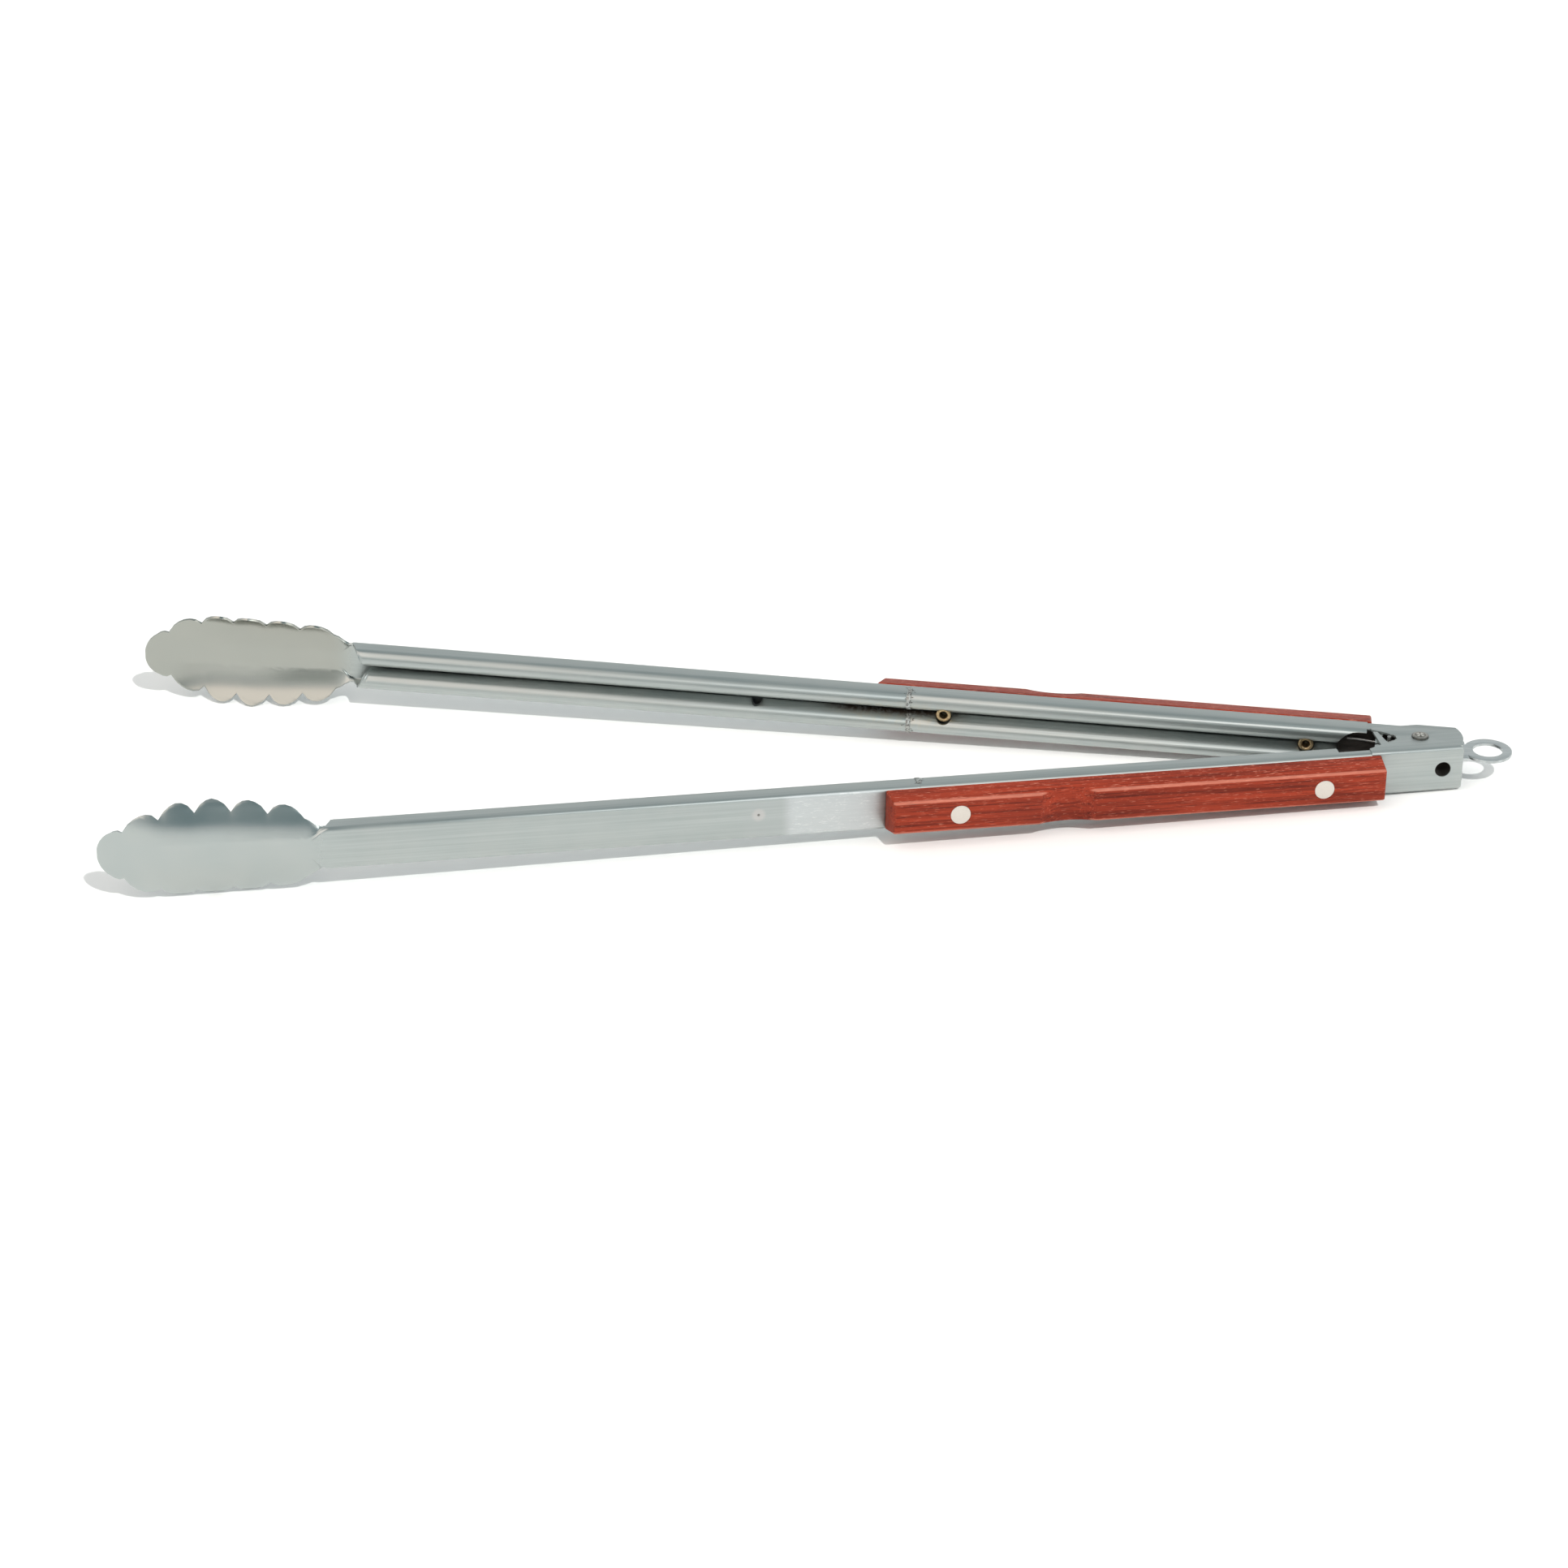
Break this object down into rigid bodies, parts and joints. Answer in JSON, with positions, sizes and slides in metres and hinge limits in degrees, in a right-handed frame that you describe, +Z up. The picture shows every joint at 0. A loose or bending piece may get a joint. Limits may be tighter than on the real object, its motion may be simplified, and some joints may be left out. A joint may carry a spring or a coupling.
{
  "type": "spring loaded kitchen tongs",
  "caption": "Long tongs with scalloped steel scoops, folded steel arms, wooden scales, a sprung rivet hinge and a pull-ring lock slide.",
  "frame": {"origin": "centre of the hanging hole in the lock slide's ring, at rest, halfway through the plate", "axes": "+Z up along the hinge axis and the ring hole, with the tongs lying on their side; -X towards the scoops; -Y towards the front arm"},
  "size_m": [0.5572, 0.1806, 0.0406],
  "materials": {
    "arm_steel": "brushed stainless sheet, grain along the arms",
    "inner_steel": "plain mill finish, hidden",
    "weld_metal": "rough weld with brown heat tint",
    "rosewood": "oiled red-brown rosewood, open pores, grain along the scale",
    "rivet_metal": "flat pale heads, fine scratches",
    "eyelet_brass": "rolled rim, dull",
    "pivot_steel": "domed head with a star clinch",
    "spring_steel": "drawn wire",
    "lock_steel": "stamped plate"
  },
  "bodies": {
    "front_arm": {"front_handle_channel": "arm_steel", "front_scoop_arm": "arm_steel", "front_splice_sleeve": "inner_steel", "front_weld_bead": "weld_metal", "front_wood_scale": "rosewood", "front_hinge_end_rivet": "rivet_metal", "front_scoop_end_rivet": "rivet_metal", "front_hinge_end_eyelet": "eyelet_brass", "front_scoop_end_eyelet": "eyelet_brass", "pivot_rivet": "pivot_steel", "torsion_spring": "spring_steel"},
    "rear_arm": {"rear_handle_channel": "arm_steel", "rear_scoop_arm": "arm_steel", "rear_splice_sleeve": "inner_steel", "rear_weld_bead": "weld_metal", "rear_wood_scale": "rosewood", "rear_hinge_end_rivet": "rivet_metal", "rear_scoop_end_rivet": "rivet_metal", "rear_hinge_end_eyelet": "eyelet_brass", "rear_scoop_end_eyelet": "eyelet_brass"},
    "hinge_guide": {"pivot_sleeve": "inner_steel"},
    "lock": {"lock_slide": "lock_steel", "lock_bar": "spring_steel"}
  },
  "joints": [
    {"name": "arm_hinge", "type": "hinge", "parent": "front_arm", "child": "rear_arm", "pos_m": [-0.0277, 0, 0], "axis": [0, 0, 1], "range_deg": [0, 18.6], "stiffness_Nm_per_rad": 0.15, "springref_deg": -5.73, "deforming": ["torsion_spring"]},
    {"name": "guide_turn", "type": "hinge", "parent": "front_arm", "child": "hinge_guide", "pos_m": [-0.0277, 0, 0], "axis": [0, 0, 1], "range_deg": [0, 9.3]},
    {"name": "ring_pull", "type": "slide", "parent": "hinge_guide", "child": "lock", "axis": [1, 0, 0], "range_m": [-0.0013, 0.0012]}
  ],
  "couplings": [
    {"joint": "guide_turn", "follows": "arm_hinge", "ratio": 0.5}
  ]
}
